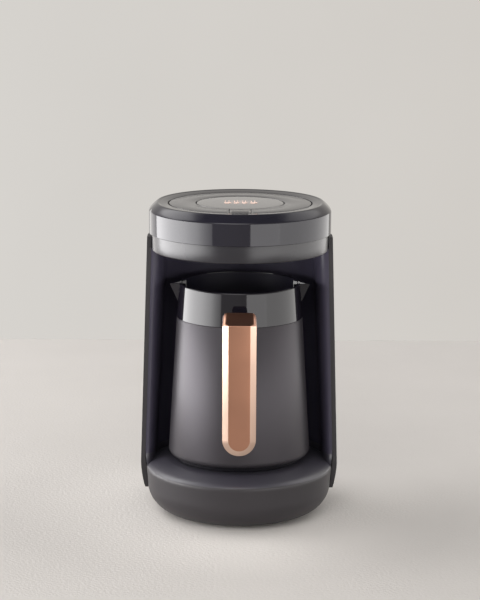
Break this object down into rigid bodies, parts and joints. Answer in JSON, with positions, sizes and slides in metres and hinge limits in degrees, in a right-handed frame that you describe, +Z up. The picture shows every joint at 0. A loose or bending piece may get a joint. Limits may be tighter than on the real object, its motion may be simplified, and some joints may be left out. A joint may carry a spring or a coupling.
{
  "type": "electric turkish coffee maker",
  "caption": "Compact electric Turkish coffee maker: round base with hot plate, wrap-round column, round head with push controls and a slide-out pot with copper bar handle.",
  "frame": {"origin": "on the pot's vertical axis at floor level, midway between the handle's front and the cord gland's back", "axes": "+Z up, -Y towards the user (handle side), +X to the user's right"},
  "size_m": [0.1574, 0.177, 0.2493],
  "materials": {
    "bowl_plastic": "fine matte moulded",
    "deck_plastic": "satin moulded",
    "bottom_plastic": "plain moulded",
    "foot_rubber": "matte",
    "screw_steel": "zinc plated",
    "hot_metal": "fine turned",
    "seal_silicone": "silicone",
    "element_sheath": "heat darkened",
    "bracket_steel": "pressed",
    "cutout_can": "plain",
    "probe_can": "plain",
    "circuit_board": "green solder mask",
    "relay_case": "plain",
    "transformer_body": "taped winding",
    "capacitor_case": "epoxy dipped",
    "terminal_case": "plain",
    "shell_plastic": "fine matte moulded",
    "liner_plastic": "gloss moulded",
    "wire_jacket": "bundled wires",
    "gland_rubber": "matte",
    "ring_plastic": "gloss moulded",
    "head_floor_plastic": "gloss moulded",
    "window_lens": "dark tinted",
    "sensor_case": "plain",
    "bezel_plastic": "gloss moulded",
    "top_plastic": "satin gloss moulded",
    "button_gloss": "satin gloss moulded",
    "light_guide": "clear moulded",
    "pad_silicone": "silicone",
    "led_lens": "diffusing",
    "chip_case": "plain",
    "sleeve_paint": "satin metallic paint",
    "vessel_coating": "dark non-stick",
    "disc_aluminium": "turned",
    "pot_foot_plastic": "plain",
    "gasket_silicone": "silicone",
    "collar_gloss": "gloss moulded",
    "handle_copper": "rose copper anodised, satin",
    "handle_core_plastic": "plain"
  },
  "bodies": {
    "housing": {"base_tub": "bowl_plastic", "bottom_plate": "bottom_plastic", "rubber_feet": "foot_rubber", "bottom_screws": "screw_steel", "base_deck": "deck_plastic", "hot_plate": "hot_metal", "hot_plate_seal": "seal_silicone", "heating_element": "element_sheath", "heater_bracket": "bracket_steel", "bracket_screws": "screw_steel", "thermal_cutout": "cutout_can", "temperature_probe": "probe_can", "power_board": "circuit_board", "board_screws": "screw_steel", "heater_relay": "relay_case", "transformer": "transformer_body", "filter_capacitor": "capacitor_case", "terminal_block": "terminal_case", "rear_shell": "shell_plastic", "shell_screws": "screw_steel", "niche_liner": "liner_plastic", "wire_harness": "wire_jacket", "cord_gland": "gland_rubber", "head_lower_ring": "ring_plastic", "head_floor": "head_floor_plastic", "head_screws": "screw_steel", "sensor_window": "window_lens", "foam_sensor": "sensor_case", "head_bezel": "bezel_plastic", "top_plate": "top_plastic", "cup_button_pad": "pad_silicone", "power_button_pad": "pad_silicone", "control_board": "circuit_board", "cup_leds": "led_lens", "control_chip": "chip_case", "buzzer": "chip_case"},
    "pot": {"pot_sleeve": "sleeve_paint", "pot_vessel": "vessel_coating", "pot_base_disc": "disc_aluminium", "pot_foot": "pot_foot_plastic", "pot_gasket": "gasket_silicone", "pot_collar": "collar_gloss", "handle_cover": "handle_copper", "handle_core": "handle_core_plastic", "handle_screws": "screw_steel"},
    "cup_button": {"cup_button": "button_gloss", "icon_light_guide": "light_guide"},
    "power_button": {"power_button": "button_gloss"}
  },
  "joints": [
    {"name": "pot_pull", "type": "slide", "parent": "housing", "child": "pot", "axis": [0, -1, 0], "range_m": [0, 0.16]},
    {"name": "cup_button_press", "type": "slide", "parent": "housing", "child": "cup_button", "axis": [0, 0, -1], "range_m": [0, 0.001], "stiffness_N_per_m": 400, "springref_m": -0.002, "deforming": ["cup_button_pad"]},
    {"name": "power_button_press", "type": "slide", "parent": "housing", "child": "power_button", "axis": [0, 0, -1], "range_m": [0, 0.001], "stiffness_N_per_m": 400, "springref_m": -0.002, "deforming": ["power_button_pad"]}
  ]
}
